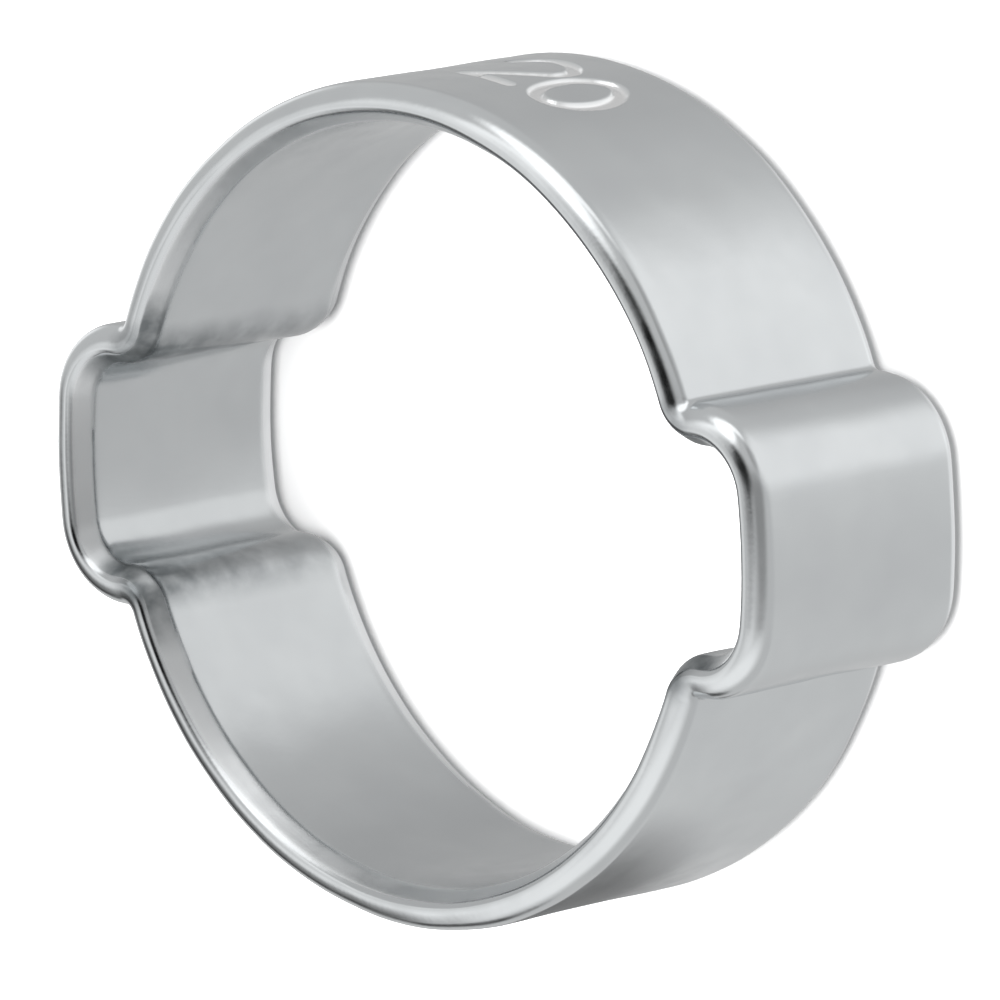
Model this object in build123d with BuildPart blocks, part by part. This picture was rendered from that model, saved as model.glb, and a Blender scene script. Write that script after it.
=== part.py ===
from build123d import *
import os

# Two-ear hose clamp, in millimetres. One closed band of sheet steel lies on its lower rim:
# the bore for the hose runs along Z, and the two ears stand out along +X and -X.

# Driving dimensions
bore_dia = 20.0  # inside diameter of the open ring
sheet = 1.1  # thickness of the band's wall
band_width = 7.5  # rim to rim, along the bore
ear_gap = 5.36  # inside width of an ear, from side wall to side wall
ear_reach = 12.05  # from the bore's axis to the inside of an ear's crown
crown_radius = 16.5  # inside of the slightly arched crown
shoulder_radius = 1.2  # inside of the bend between crown and side wall
neck_radius = 1.4  # bore side of the bend between side wall and ring
rim_round = 0.65  # rounding of both rims towards the outside
rim_bevel_across = 0.28  # bevel of both rims towards the bore, across the sheet
rim_bevel_along = 0.7  # the same bevel, along the bore

# The hollow of the +X ear, from the bore's axis out to the crown.
with BuildSketch() as ear_hollow:
    with Locations((ear_reach - crown_radius, 0)):
        Circle(crown_radius)
    Rectangle(ear_reach, ear_gap, align=(Align.MIN, Align.CENTER), mode=Mode.INTERSECT)
    crown_corners = ear_hollow.vertices().group_by(Axis.X)[-1]
    fillet(crown_corners, shoulder_radius)

# All the space inside the band: the bore, with an ear hollow on either side.
with BuildSketch() as hollow:
    Circle(bore_dia / 2)
    add(ear_hollow.sketch)
    mirror(ear_hollow.sketch, about=Plane.YZ)
    necks = hollow.vertices().filter_by(lambda corner: abs(corner.X) < bore_dia / 2)
    fillet(necks, neck_radius)

with BuildPart() as clamp_band:
    # The sheet follows the hollow's outline at an even thickness, through every bend.
    with BuildSketch():
        add(hollow.sketch)
        offset(amount=sheet, kind=Kind.INTERSECTION)
        add(hollow.sketch, mode=Mode.SUBTRACT)
    extrude(amount=band_width)

    # Both rims are bevelled towards the bore and rounded towards the outside, all the way round.
    for side in (0, -1):
        rim = clamp_band.faces().sort_by(Axis.Z)[side]
        inner_edges = rim.inner_wires()[0].edges()
        chamfer(inner_edges, length=rim_bevel_across, length2=rim_bevel_along, reference=rim)
    for side in (0, -1):
        rim = clamp_band.faces().sort_by(Axis.Z)[side]
        fillet(rim.outer_wire().edges(), rim_round)

clamp_band.part.label = "clamp_band"

os.makedirs("parts", exist_ok=True)
export_step(clamp_band.part, "parts/clamp_band.step")
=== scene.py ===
import math

import bmesh
import bpy
from mathutils import Matrix, Vector


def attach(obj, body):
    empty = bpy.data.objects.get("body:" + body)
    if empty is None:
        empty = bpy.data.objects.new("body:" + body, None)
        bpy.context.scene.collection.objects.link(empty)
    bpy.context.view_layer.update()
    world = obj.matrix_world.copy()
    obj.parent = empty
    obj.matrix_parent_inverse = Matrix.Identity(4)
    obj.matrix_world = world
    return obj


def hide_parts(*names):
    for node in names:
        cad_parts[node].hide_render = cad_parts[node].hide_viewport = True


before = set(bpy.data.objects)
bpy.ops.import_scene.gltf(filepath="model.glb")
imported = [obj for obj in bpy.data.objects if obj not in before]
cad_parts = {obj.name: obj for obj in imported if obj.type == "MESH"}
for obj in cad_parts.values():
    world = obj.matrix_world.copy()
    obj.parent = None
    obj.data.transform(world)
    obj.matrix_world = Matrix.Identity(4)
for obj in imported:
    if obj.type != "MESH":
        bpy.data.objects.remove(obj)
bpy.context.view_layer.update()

# ------------------------------------------------------------------------------------------------
# The band. The whole clamp is one closed ring of soft steel sheet, 1.1 mm thick, with two hollow
# ears pressed out of it, one on each side. Both rims are bevelled towards the hose and tumbled
# round on the outside. It lies on its lower rim, with the hose's axis upright.
# ------------------------------------------------------------------------------------------------
mm = 0.001
bore_radius = 10.0 * mm
sheet = 1.1 * mm
band_width = 7.5 * mm
ear_gap = 5.36 * mm  # between an ear's two side walls, inside
ear_reach = 12.05 * mm  # from the axis to the inside of an ear's crown
crown_radius = 16.5 * mm  # the crown is very slightly arched
shoulder_radius = 1.2 * mm  # inside of the bend from crown to side wall
neck_radius = 1.4 * mm  # hose side of the bend from side wall to ring
rim_round = 0.58 * mm
rim_bevel_across = 0.36 * mm
rim_bevel_along = 0.64 * mm
crest_rubbed = 0.2 * mm  # how far the bevel is rubbed round at the rim's crest
upper_wall_rubbed = 0.14 * mm  # and where it meets the wall, at the upper rim
lower_wall_rubbed = 0.3 * mm  # and at the lower one
outer_round_segments = 12
crest_segments = 6
upper_segments = 5
lower_segments = 6
bevel_cuts = 3  # extra lines along each bevel and crest
wall_cuts = 20  # and along each wall
ring_steps = 52
neck_steps = 14
shoulder_steps = 16
crown_steps = 7
a_hair = 0.01 * mm  # what lies this near to a line counts as on it
weld = 0.2 * a_hair  # and vertices this near to each other become one


def pick(kind, wanted):
    """Leaves selected only the vertices, edges or faces of the open mesh that wanted says yes to."""
    bpy.ops.mesh.select_mode(type=kind)
    bpy.ops.mesh.select_all(action="DESELECT")
    mesh = bmesh.from_edit_mesh(bpy.context.object.data)
    parts = {"VERT": mesh.verts, "EDGE": mesh.edges, "FACE": mesh.faces}[kind]
    for part in parts:
        if wanted(part):
            part.select_set(True)
    mesh.select_flush_mode()
    bmesh.update_edit_mesh(bpy.context.object.data)


# The section across the sheet, where the ring crosses the Y axis.
bpy.ops.object.select_all(action="DESELECT")
sheet_middle = bore_radius + sheet / 2
bpy.ops.mesh.primitive_plane_add(
    size=1.0,
    location=(0.0, sheet_middle, band_width / 2),
    rotation=(0.0, math.radians(90.0), 0.0),
)
band = bpy.context.object
band.name = "band"
band.data.name = "band"
band.scale = (band_width, sheet, 1.0)
bpy.ops.object.transform_apply(location=True, rotation=True, scale=True)
bpy.ops.object.mode_set(mode="EDIT")
pick("VERT", lambda corner: corner.co.y > sheet_middle)
bpy.ops.mesh.bevel(affect="VERTICES", offset=rim_round, segments=outer_round_segments)
pick("VERT", lambda corner: corner.co.y < bore_radius + a_hair)
bpy.ops.mesh.bevel(affect="VERTICES", offset=rim_bevel_across, segments=1)
for rim_side in (1.0, -1.0):
    pick(
        "VERT",
        lambda corner: corner.co.y < bore_radius + a_hair
        and rim_side * (band_width / 2 - corner.co.z) > 0.0,
    )
    bpy.ops.transform.translate(value=(0.0, 0.0, rim_side * (rim_bevel_along - rim_bevel_across)))
pick(
    "VERT",
    lambda corner: a_hair < corner.co.y - bore_radius < rim_bevel_across + a_hair,
)
bpy.ops.mesh.bevel(affect="VERTICES", offset=crest_rubbed, segments=crest_segments)
for rim_side, rubbed, segments in (
    (1.0, upper_wall_rubbed, upper_segments),
    (-1.0, lower_wall_rubbed, lower_segments),
):
    pick(
        "VERT",
        lambda corner: corner.co.y < bore_radius + a_hair
        and rim_side * (corner.co.z - band_width / 2) > 0.0,
    )
    bpy.ops.mesh.bevel(affect="VERTICES", offset=rubbed, segments=segments)

# Only the section's outline is kept, with more points on its bevels, its crests and its walls.
pick("FACE", lambda face: True)
bpy.ops.mesh.delete(type="ONLY_FACE")
shortest_bevel = 0.25 * mm
longest_bevel = 1.0 * mm
pick("EDGE", lambda edge: shortest_bevel < edge.calc_length() < longest_bevel)
bpy.ops.mesh.subdivide(number_cuts=bevel_cuts)
pick("EDGE", lambda edge: edge.calc_length() > band_width / 2)
bpy.ops.mesh.subdivide(number_cuts=wall_cuts)

# A quarter of the band: the section is swept along the ring, out round the neck, along the ear's
# side wall, round its shoulder and on to the middle of its crown.
neck_y = ear_gap / 2 + neck_radius
neck_x = math.sqrt((bore_radius + neck_radius) ** 2 - neck_y**2)
neck_turn = math.acos(neck_y / (bore_radius + neck_radius))
crown_x = ear_reach - crown_radius
shoulder_y = ear_gap / 2 - shoulder_radius
shoulder_x = crown_x + math.sqrt((crown_radius - shoulder_radius) ** 2 - shoulder_y**2)
crown_turn = math.asin(shoulder_y / (crown_radius - shoulder_radius))


def sweep(centre_x, centre_y, turn, steps):
    """Spins what is selected about an upright axis, clockwise from above where turn is positive."""
    bpy.ops.mesh.spin(
        steps=steps,
        angle=turn,
        center=(centre_x, centre_y, 0.0),
        axis=(0.0, 0.0, 1.0),
    )


pick("VERT", lambda corner: True)
sweep(0.0, 0.0, neck_turn, ring_steps)
sweep(neck_x, neck_y, -neck_turn, neck_steps)
side_wall = shoulder_x - neck_x
bpy.ops.mesh.extrude_region_move(TRANSFORM_OT_translate={"value": (side_wall, 0.0, 0.0)})
sweep(shoulder_x, shoulder_y, math.pi / 2 - crown_turn, shoulder_steps)
sweep(crown_x, 0.0, crown_turn, crown_steps)
bpy.ops.object.mode_set(mode="OBJECT")

# The other three quarters are its mirror images, merged with it into one closed skin.
mirror = band.modifiers.new("other quarters", "MIRROR")
mirror.use_axis = (True, True, False)
mirror.use_mirror_merge = True
mirror.merge_threshold = weld
bpy.ops.object.modifier_apply(modifier=mirror.name)
bpy.ops.object.mode_set(mode="EDIT")
bpy.ops.mesh.select_all(action="SELECT")
bpy.ops.mesh.remove_doubles(threshold=weld)
bpy.ops.mesh.normals_make_consistent(inside=False)
bpy.ops.object.mode_set(mode="OBJECT")
bpy.ops.object.shade_smooth()

# Pressing leaves the sheet very slightly uneven. The band is then set down on its lowest point.
uneven_over = 3.2 * mm
uneven_by = 0.09 * mm
unevenness = bpy.data.textures.new("press unevenness", "CLOUDS")
unevenness.noise_scale = uneven_over
unevenness.noise_depth = 1
uneven = band.modifiers.new("uneven", "DISPLACE")
uneven.texture = unevenness
uneven.texture_coords = "LOCAL"
uneven.direction = "NORMAL"
uneven.mid_level = 0.5
uneven.strength = uneven_by
bpy.ops.object.modifier_apply(modifier=uneven.name)
lowest_point = min(vertex.co.z for vertex in band.data.vertices)
band.data.transform(Matrix.Translation((0.0, 0.0, -lowest_point)))

# ------------------------------------------------------------------------------------------------
# The size number. A punch with blunt, rounded figures presses the clamp's size in millimetres, a
# plain 20, into the outside of the ring before it is plated. The figures stand on their heads,
# with their tops towards the lower rim.
# ------------------------------------------------------------------------------------------------
figure_height = 3.0 * mm
bowl_width = 2.2 * mm
foot_width = 1.65 * mm
nought_width = 1.72 * mm
nought_height = 0.88 * figure_height
figure_gap = 0.48 * mm
nought_drop = 0.22 * mm  # the second figure is struck a little lower than the first
stroke = 0.54 * mm
press_depth = 0.12 * mm
number_bearing = math.radians(80.6)  # round the ring, from the middle of the right ear
number_height = 3.3 * mm  # above the lower rim
oval_points = 48
fine_cuts = 5

# The nought is an oval.
two_x = -(figure_gap + nought_width) / 2
nought_x = (figure_gap + bowl_width) / 2
bpy.ops.object.select_all(action="DESELECT")
bpy.ops.mesh.primitive_circle_add(
    vertices=oval_points,
    radius=0.5,
    location=(nought_x, -nought_drop, 0.0),
)
nought = bpy.context.object
nought.scale = (nought_width, nought_height, 1.0)
bpy.ops.object.transform_apply(location=True, rotation=True, scale=True)

# The two is an oval bowl, cut open at its lower left and drawn out to the foot and along it.
bowl_height = 0.6 * figure_height
bowl_y = (figure_height - bowl_height) / 2
bpy.ops.object.select_all(action="DESELECT")
bpy.ops.mesh.primitive_circle_add(
    vertices=oval_points,
    radius=0.5,
    location=(two_x, bowl_y, 0.0),
)
two = bpy.context.object
two.scale = (bowl_width, bowl_height, 1.0)
bpy.ops.object.transform_apply(location=True, rotation=True, scale=True)
bpy.ops.object.mode_set(mode="EDIT")
right_end_y = bowl_y - 0.28 * bowl_height
left_end_y = bowl_y + 0.12 * bowl_height
pick(
    "VERT",
    lambda point: point.co.y < right_end_y or (point.co.y < left_end_y and point.co.x < two_x),
)
bpy.ops.mesh.delete(type="VERT")
pick("VERT", lambda point: len(point.link_edges) == 1 and point.co.x > two_x)
bowl_end = [v.co.copy() for v in bmesh.from_edit_mesh(two.data).verts if v.select][0]
foot_start = Vector((two_x + bowl_width / 2 - foot_width, -figure_height / 2, 0.0))
bpy.ops.mesh.extrude_region_move(TRANSFORM_OT_translate={"value": foot_start - bowl_end})
bpy.ops.mesh.extrude_region_move(TRANSFORM_OT_translate={"value": (foot_width, 0.0, 0.0)})
bpy.ops.object.mode_set(mode="OBJECT")

# Both figures are joined, stood against the ring on their heads, and laid on its outside.
bpy.ops.object.select_all(action="DESELECT")
two.select_set(True)
nought.select_set(True)
bpy.context.view_layer.objects.active = two
bpy.ops.object.join()
punch = two
punch.name = "number_punch"
longest_piece = 0.5 * mm  # what is longer is cut up, so that it can bend round the ring
straight_cuts = 16
bpy.ops.object.mode_set(mode="EDIT")
pick("EDGE", lambda edge: edge.calc_length() > longest_piece)
bpy.ops.mesh.subdivide(number_cuts=straight_cuts)
bpy.ops.object.mode_set(mode="OBJECT")
ring_outside = bore_radius + sheet
clear_of_ring = 1.03 * ring_outside
punch.rotation_euler = (math.radians(-90.0), 0.0, number_bearing - math.pi / 2)
punch.location = (
    clear_of_ring * math.cos(number_bearing),
    clear_of_ring * math.sin(number_bearing),
    number_height,
)
bpy.ops.object.transform_apply(location=True, rotation=True, scale=True)
settle = punch.modifiers.new("on the ring", "SHRINKWRAP")
settle.target = band
bpy.ops.object.modifier_apply(modifier=settle.name)

# The sheet is made fine under the punch, and pressed in where it is near a stroke.
bpy.ops.object.select_all(action="DESELECT")
band.select_set(True)
bpy.context.view_layer.objects.active = band
margin = 0.45 * mm  # round the figures, for the sides of the strokes
skin_depth = 0.08 * mm  # the ring's outer face is sought this far under its nominal radius
lowest = [min(v.co[i] for v in punch.data.vertices) - margin for i in range(3)]
highest = [max(v.co[i] for v in punch.data.vertices) + margin for i in range(3)]


def under_punch(point):
    """Whether a point is on the outside of the ring, within the number's place."""
    beside = lowest[0] < point.x < highest[0] and point.y > 0.0
    between = lowest[2] < point.z < highest[2]
    return beside and between and point.xy.length > ring_outside - skin_depth


bpy.ops.object.mode_set(mode="EDIT")
pick("FACE", lambda face: under_punch(face.calc_center_median()))
bpy.ops.mesh.subdivide(number_cuts=fine_cuts)
bpy.ops.object.mode_set(mode="OBJECT")
punched = [v.index for v in band.data.vertices if under_punch(v.co)]
band.vertex_groups.new(name="punched").add(punched, 1.0, "REPLACE")
near = band.modifiers.new("near a stroke", "VERTEX_WEIGHT_PROXIMITY")
near.vertex_group = "punched"
near.target = punch
near.proximity_mode = "GEOMETRY"
near.proximity_geometry = {"EDGE"}
near.min_dist = 0.5 * stroke  # from its middle line, a stroke begins here
near.max_dist = 0.2 * stroke  # and is at its full depth from here inwards
near.falloff_type = "SMOOTH"
bpy.ops.object.modifier_apply(modifier=near.name)
press = band.modifiers.new("pressed in", "DISPLACE")
press.vertex_group = "punched"
press.direction = "NORMAL"
press.mid_level = 0.0
press.strength = -press_depth
bpy.ops.object.modifier_apply(modifier=press.name)
bpy.data.objects.remove(punch)


def mark(name, values):
    """Keeps a number for every vertex of the band, which the plating reads by its name."""
    band.data.attributes.new(name, "FLOAT", "POINT").data.foreach_set("value", values)


group = band.vertex_groups["punched"].index
struck = [0.0] * len(band.data.vertices)
for vertex in band.data.vertices:
    for held in vertex.groups:
        if held.group == group:
            struck[vertex.index] = held.weight
mark("struck", struck)
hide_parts("clamp_band")
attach(band, "root")

# ------------------------------------------------------------------------------------------------
# The plating. Bright zinc, a few thousandths of a millimetre thick, barrel plated on to the steel,
# with painted shade darkening its hose side. It shows rolling lines, a fine grain and soft clouds.
# It is polished on the rims by tumbling, rough on the cut bevels, and has painted shade round the
# necks.
# ------------------------------------------------------------------------------------------------
zinc_light = "#DDE0E1"
zinc_cloud = "#D0D3D5"
# Painted shade: the colour that darkens the necks' creases and the bevel beside them.
zinc_neck_painted_shade = "#7F8385"
# Painted highlight: the struck figures are coloured near white, brighter than the plating.
zinc_struck_painted_highlight = "#FDFDFD"
zinc_cut = "#DFE1E2"
# Painted shade: this colour dims the whole hose side, as the ring's own shade.
zinc_hose_side_painted_shade = "#EFEFEF"  # dims the other colours on the hose side
smoothest, roughest = 0.18, 0.27  # roughness of the rolled sheet's skin
polish = 0.06  # how much smoother it is on the rims
cut_roughness = 0.2  # and how much rougher on the cut bevels
cloud_size = 2.4 * mm
haze_size = 0.8 * mm
grain_size = 0.16 * mm  # drawn far coarser than the real grain, which is too fine to show
rolling_line = 0.14 * mm  # across the lines, also drawn coarse; they are ten times as long
# Painted shade: how far the darker colour reaches from a neck, and along the cut bevel.
neck_shade_reach = 1.2 * mm  # how far the dull place reaches from a neck
bevel_shade_reach = 2.3 * mm  # and how far it reaches along the cut bevel


def linear(hex_code):
    """An sRGB hex colour as the linear colour that the shaders take."""
    colour = []
    for place in (1, 3, 5):
        value = int(hex_code[place : place + 2], 16) / 255.0
        colour.append(value / 12.92 if value <= 0.04045 else ((value + 0.055) / 1.055) ** 2.4)
    return (*colour, 1.0)


def empty_tree(owner):
    """The node tree of a material or world, emptied."""
    owner.use_nodes = True
    owner.node_tree.nodes.clear()
    return owner.node_tree


def node(tree, kind, links=(), **settings):
    """Adds a node. in_NAME or in_NUMBER sets an input, and links are (output, input) pairs."""
    new = tree.nodes.new(kind)
    for key, value in settings.items():
        if key.startswith("in_"):
            name = key[3:]
            socket = new.inputs[int(name) if name.isdigit() else name.replace("_", " ")]
            socket.default_value = value
        else:
            setattr(new, key, value)
    for output, name in links:
        tree.links.new(output, new.inputs[name])
    return new


# Where the skin faces inward it is the hose side, and a cut bevel where it leans as well. The
# change from one side of the sheet to the other is spread over the crest of the rim.
least_lean, most_lean = 0.3, 0.62
spread = 0.5
cut = []
hose_side = []
for vertex in band.data.vertices:
    outward = vertex.co.xy.normalized().dot(vertex.normal.xy)
    leaning = least_lean < abs(vertex.normal.z) < most_lean
    cut.append(1.0 if outward < 0.0 and leaning else 0.0)
    hose_side.append(min(max(0.5 - outward / spread, 0.0), 1.0))
mark("cut", cut)
mark("hose_side", hose_side)

zinc = bpy.data.materials.new("bright_zinc_plating")
tree = empty_tree(zinc)
place = node(tree, "ShaderNodeTexCoord").outputs["Object"]


def mottling(where, size, detail):
    """Adds a soft, even mottling of spots of the given size."""
    return node(
        tree,
        "ShaderNodeTexNoise",
        [(where, "Vector")],
        in_Scale=1 / size,
        in_Detail=detail,
    )


cloud = mottling(place, cloud_size, 2.0)
haze = mottling(place, haze_size, 3.0)
grain = mottling(place, grain_size, 2.0)
drawn_out = node(tree, "ShaderNodeMapping", [(place, "Vector")], in_Scale=(0.1, 0.1, 1.0))
rolling = mottling(drawn_out.outputs[0], rolling_line, 2.0)

# Painted shade lies round each neck's crease, which has the same place in every quarter, and reaches
# along the bevel. It is strongest at the upper rim, and the haze blotches it.
one_quarter = node(tree, "ShaderNodeVectorMath", [(place, 0)], operation="ABSOLUTE")
level = node(
    tree,
    "ShaderNodeVectorMath",
    [(one_quarter.outputs[0], 0)],
    operation="MULTIPLY",
    in_1=(1.0, 1.0, 0.0),
)
from_neck = node(
    tree,
    "ShaderNodeVectorMath",
    [(level.outputs[0], 0)],
    operation="DISTANCE",
    in_1=(neck_x - 0.6 * neck_radius, neck_y - 0.8 * neck_radius, 0.0),  # the hose side of a neck
)
neck = node(
    tree,
    "ShaderNodeMapRange",
    [(from_neck.outputs["Value"], "Value")],
    interpolation_type="SMOOTHSTEP",
    in_From_Min=neck_shade_reach,
    in_From_Max=0.2 * neck_shade_reach,
)
height_up = node(tree, "ShaderNodeSeparateXYZ", [(place, 0)])
fading = node(
    tree,
    "ShaderNodeMapRange",
    [(height_up.outputs["Z"], "Value")],
    in_From_Max=band_width,
    in_To_Min=0.5,
    in_To_Max=1.8,
)
on_bevel = node(tree, "ShaderNodeAttribute", attribute_name="cut")
along_bevel = node(
    tree,
    "ShaderNodeMapRange",
    [(from_neck.outputs["Value"], "Value"), (on_bevel.outputs["Fac"], "To Max")],
    interpolation_type="SMOOTHSTEP",
    in_From_Min=bevel_shade_reach,
    in_From_Max=0.4 * bevel_shade_reach,
)
neck_shade_place = node(
    tree,
    "ShaderNodeMath",
    [(neck.outputs[0], 0), (along_bevel.outputs[0], 1)],
    operation="MAXIMUM",
)
blotched = node(
    tree,
    "ShaderNodeMath",
    [(fading.outputs[0], 0), (haze.outputs["Fac"], 1)],
    operation="MULTIPLY",
)
# The share of painted shade, strongest near the necks and at the upper rim.
neck_painted_shade = node(
    tree,
    "ShaderNodeMath",
    [(neck_shade_place.outputs[0], 0), (blotched.outputs[0], 1)],
    operation="MULTIPLY",
)

# How near a rim is, from the height alone.
from_middle = node(
    tree,
    "ShaderNodeMath",
    [(height_up.outputs["Z"], 0)],
    operation="SUBTRACT",
    in_1=band_width / 2,
)
off_middle = node(tree, "ShaderNodeMath", [(from_middle.outputs[0], 0)], operation="ABSOLUTE")
rim = node(
    tree,
    "ShaderNodeMapRange",
    [(off_middle.outputs[0], "Value")],
    interpolation_type="SMOOTHSTEP",
    in_From_Min=band_width / 2 - 1.4 * rim_round,
    in_From_Max=band_width / 2 - 0.5 * rim_round,
)

# The colour is laid on in turn: clouds, painted shade on the hose side, the cut bevels, painted
# shade round the necks and at last the struck figures, painted near white as a painted highlight.
colour = node(
    tree,
    "ShaderNodeMix",
    [(cloud.outputs["Fac"], "Factor")],
    data_type="RGBA",
    in_6=linear(zinc_cloud),
    in_7=linear(zinc_light),
)
towards_hose = node(tree, "ShaderNodeAttribute", attribute_name="hose_side")
strokes = node(tree, "ShaderNodeAttribute", attribute_name="struck")
for share, hex_code, blend in (
    (towards_hose.outputs["Fac"], zinc_hose_side_painted_shade, "MULTIPLY"),
    (on_bevel.outputs["Fac"], zinc_cut, "MIX"),
    (neck_painted_shade.outputs[0], zinc_neck_painted_shade, "MIX"),
    (strokes.outputs["Fac"], zinc_struck_painted_highlight, "MIX"),
):
    colour = node(
        tree,
        "ShaderNodeMix",
        [(share, "Factor"), (colour.outputs[2], 6)],
        data_type="RGBA",
        blend_type=blend,
        in_7=linear(hex_code),
    )

# The haze also dulls the skin a little, and the rims are smoother and the bevels rougher.
hazed = node(
    tree,
    "ShaderNodeMapRange",
    [(haze.outputs["Fac"], "Value")],
    in_From_Min=0.3,
    in_From_Max=0.7,
    in_To_Min=smoothest,
    in_To_Max=roughest,
)
polished = node(
    tree,
    "ShaderNodeMath",
    [(rim.outputs[0], 0), (hazed.outputs[0], 2)],
    operation="MULTIPLY_ADD",
    in_1=-polish,
)
roughness = node(
    tree,
    "ShaderNodeMath",
    [(on_bevel.outputs["Fac"], 0), (polished.outputs[0], 2)],
    operation="MULTIPLY_ADD",
    in_1=cut_roughness,
)
relief = node(
    tree,
    "ShaderNodeBump",
    [(rolling.outputs["Fac"], "Height")],
    in_Strength=0.07,
    in_Distance=0.02 * mm,
)
relief = node(
    tree,
    "ShaderNodeBump",
    [(grain.outputs["Fac"], "Height"), (relief.outputs[0], "Normal")],
    in_Strength=0.16,
    in_Distance=0.01 * mm,
)
shader = node(
    tree,
    "ShaderNodeBsdfPrincipled",
    [
        (colour.outputs[2], "Base Color"),
        (roughness.outputs[0], "Roughness"),
        (relief.outputs[0], "Normal"),
    ],
    in_Metallic=1.0,
)
node(tree, "ShaderNodeOutputMaterial", [(shader.outputs[0], "Surface")])
band.data.materials.clear()
band.data.materials.append(zinc)

# ------------------------------------------------------------------------------------------------
# The studio. A light tent of white cloth stands round the bench, with paler and darker boards in
# it, and a small black card beside the clamp, that the bright metal mirrors. The bench is white
# paper, which the metal doesn't mirror.
# ------------------------------------------------------------------------------------------------
tent = 0.40  # how bright the plain cloth looks in the metal
metal = 0.62  # how much the metal gives back of what it mirrors
world = bpy.data.worlds.new("light_tent")
bpy.context.scene.world = world
tree = empty_tree(world)
coords = node(tree, "ShaderNodeTexCoord")


def board(light, bearing, height, wide, high, soft, level):
    """Adds a soft-edged oval board to the light, in degrees as seen from the clamp."""
    across, up = math.radians(bearing), math.radians(height)
    flat = math.cos(up)
    toward = Vector((flat * math.cos(across), flat * math.sin(across), math.sin(up)))
    local = node(
        tree,
        "ShaderNodeMapping",
        [(coords.outputs["Generated"], "Vector")],
        vector_type="TEXTURE",
        in_Location=toward,
        in_Rotation=toward.to_track_quat("Z", "Y").to_euler(),
        in_Scale=(math.sin(math.radians(wide)), math.sin(math.radians(high)), 1.0),
    )
    away = node(tree, "ShaderNodeVectorMath", [(local.outputs[0], 0)], operation="LENGTH")
    edge = node(
        tree,
        "ShaderNodeMapRange",
        [(away.outputs["Value"], "Value")],
        interpolation_type="SMOOTHSTEP",
        in_From_Min=1.0 + soft,
        in_From_Max=1.0 - soft,
        in_To_Min=0.0,
        in_To_Max=level / metal,
    )
    return node(
        tree,
        "ShaderNodeMath",
        [(edge.outputs[0], 0), (light, 1)],
        operation="ADD",
    ).outputs[0]


light = node(tree, "ShaderNodeMath", operation="DIVIDE", in_0=tent, in_1=metal).outputs[0]
light = board(light, 0, -90, 26, 26, 0.3, 0.21)  # the bench itself
light = board(light, 38, -30, 30, 46, 0.35, 0.26)  # a pale board low on the right
light = board(light, -55, -44, 36, 16, 0.5, 0.05)  # the bench's near edge, a little paler
light = board(light, 152, -44, 30, 18, 0.5, -0.07)  # and its far edge, a little darker
light = board(light, -100, 38, 55, 24, 0.5, 0.27)  # the near side of the tent
light = board(light, -124, -3, 14, 9, 0.5, -0.35)  # the dark gap under its near side
light = board(light, 0, 36, 20, 26, 0.5, -0.19)  # the camera's side, darker
light = board(light, 95, 33, 17, 23, 0.35, 0.64)  # the main lamp, on the far side
light = board(light, 80, 9, 13, 8, 0.5, 0.45)  # its light on the cloth below it
light = board(light, 138, 58, 24, 14, 0.4, 0.42)  # and on the tent's roof
light = board(light, 42, 14, 16, 12, 0.5, -0.20)  # the shaded cloth to the right of the lamp
light = board(light, -166, 44, 18, 8, 0.4, 0.17)  # a pale seam on the left
light = board(light, -152, 14, 20, 18, 0.4, -0.40)  # the tent's door under it, left open
light = board(light, 172, -17, 18, 12, 0.4, 0.30)  # a white card low on the left
light = board(light, 100, 80, 30, 20, 0.4, -0.40)  # the tent's open top
light = board(light, -110, 75, 26, 12, 0.4, 0.13)  # and its near edge
path = node(tree, "ShaderNodeLightPath")
tent_light = node(
    tree,
    "ShaderNodeBackground",
    [(light, "Strength")],
    in_Color=(1.0, 1.0, 1.0, 1.0),
)
backdrop = node(
    tree,
    "ShaderNodeBackground",
    in_Color=(1.0, 1.0, 1.0, 1.0),
    in_Strength=1.0,
)
background = node(
    tree,
    "ShaderNodeMixShader",
    [
        (path.outputs["Is Camera Ray"], 0),
        (tent_light.outputs[0], 1),
        (backdrop.outputs[0], 2),
    ],
)
node(tree, "ShaderNodeOutputWorld", [(background.outputs[0], "Surface")])

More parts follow.
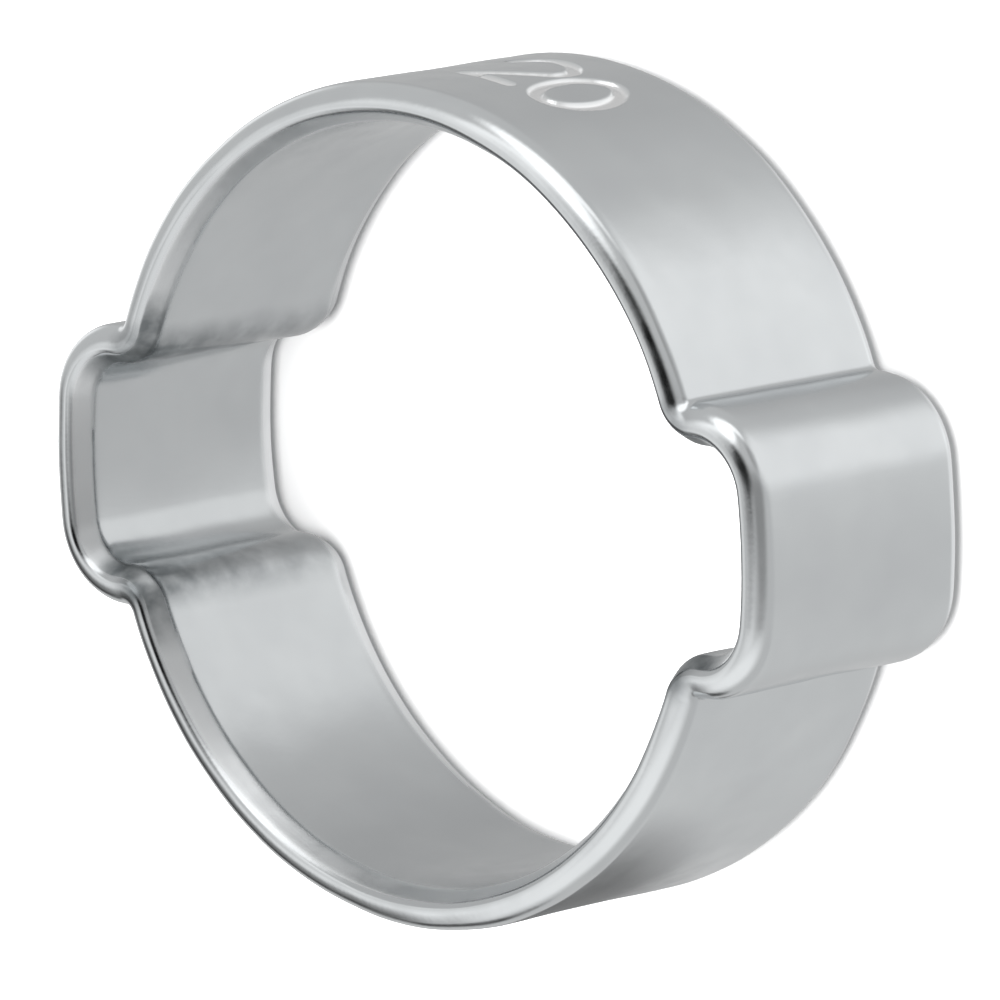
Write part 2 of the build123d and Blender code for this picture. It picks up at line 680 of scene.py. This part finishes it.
# A soft-edged black card lies on the bench at the near right, where only the metal sees it.
card_half_length = 9.0 * mm
card_half_width = 4.8 * mm
card_darkness = 0.7
bpy.ops.object.select_all(action="DESELECT")
bpy.ops.mesh.primitive_plane_add(size=2.0, location=(0.4 * mm, -14.6 * mm, 0.3 * mm))
card = bpy.context.object
card.name = "black_card"
card.scale = (card_half_length, card_half_width, 1.0)
card.visible_camera = False
card.visible_diffuse = False
card.visible_shadow = False
black = bpy.data.materials.new("black_card_soft_edged")
tree = empty_tree(black)
on_card = node(tree, "ShaderNodeTexCoord")
from_centre = node(
    tree,
    "ShaderNodeVectorMath",
    [(on_card.outputs["Object"], 0)],
    operation="LENGTH",
)
fade = node(
    tree,
    "ShaderNodeMapRange",
    [(from_centre.outputs["Value"], "Value")],
    interpolation_type="SMOOTHSTEP",
    in_From_Min=1.0,
    in_From_Max=0.2,
    in_To_Max=card_darkness,
)
clear = node(tree, "ShaderNodeBsdfTransparent")
dark = node(tree, "ShaderNodeEmission", in_Strength=0.0)
shader = node(
    tree,
    "ShaderNodeMixShader",
    [(fade.outputs[0], 0), (clear.outputs[0], 1), (dark.outputs[0], 2)],
)
node(tree, "ShaderNodeOutputMaterial", [(shader.outputs[0], "Surface")])
card.data.materials.append(black)

lamp = bpy.data.lights.new("overhead_softbox", "SUN")
lamp.energy = 6.0
lamp.angle = math.radians(60.0)
overhead = bpy.data.objects.new("overhead_softbox", lamp)
overhead.visible_glossy = False
bpy.context.scene.collection.objects.link(overhead)

bpy.ops.object.select_all(action="DESELECT")
bpy.ops.mesh.primitive_plane_add(size=4.0)
bench = bpy.context.object
bench.name = "bench_paper"
bench.visible_glossy = False
paper = bpy.data.materials.new("matt_white_paper")
tree = empty_tree(paper)
shader = node(
    tree,
    "ShaderNodeBsdfPrincipled",
    in_Base_Color=linear("#F4F4F4"),
    in_Roughness=1.0,
    in_Specular_IOR_Level=0.0,
)
node(tree, "ShaderNodeOutputMaterial", [(shader.outputs[0], "Surface")])
bench.data.materials.append(paper)

# ------------------------------------------------------------------------------------------------
# The camera. A long lens 0.3 m away, looking down at the clamp from its near right, turned so that
# the bore's axis points down to the left of the picture.
# ------------------------------------------------------------------------------------------------
turn_vector = Vector((-2.7442, -0.0658, 1.1455))
clamp_in_view = Vector((2.5931, -0.7879, 300.0)) * mm
sensor = 36.0
lens = 410.86
turn = Matrix.Rotation(turn_vector.length, 3, turn_vector.normalized())
camera_data = bpy.data.cameras.new("camera")
camera_data.sensor_width = sensor
camera_data.lens = lens
camera_data.clip_start = 0.01
camera = bpy.data.objects.new("camera", camera_data)
facing = Matrix((turn[0], -turn[1], -turn[2])).transposed().to_4x4()
camera.matrix_world = Matrix.Translation(-(turn.transposed() @ clamp_in_view)) @ facing
bpy.context.scene.collection.objects.link(camera)
bpy.context.scene.camera = camera
bpy.context.scene.view_settings.view_transform = "Standard"
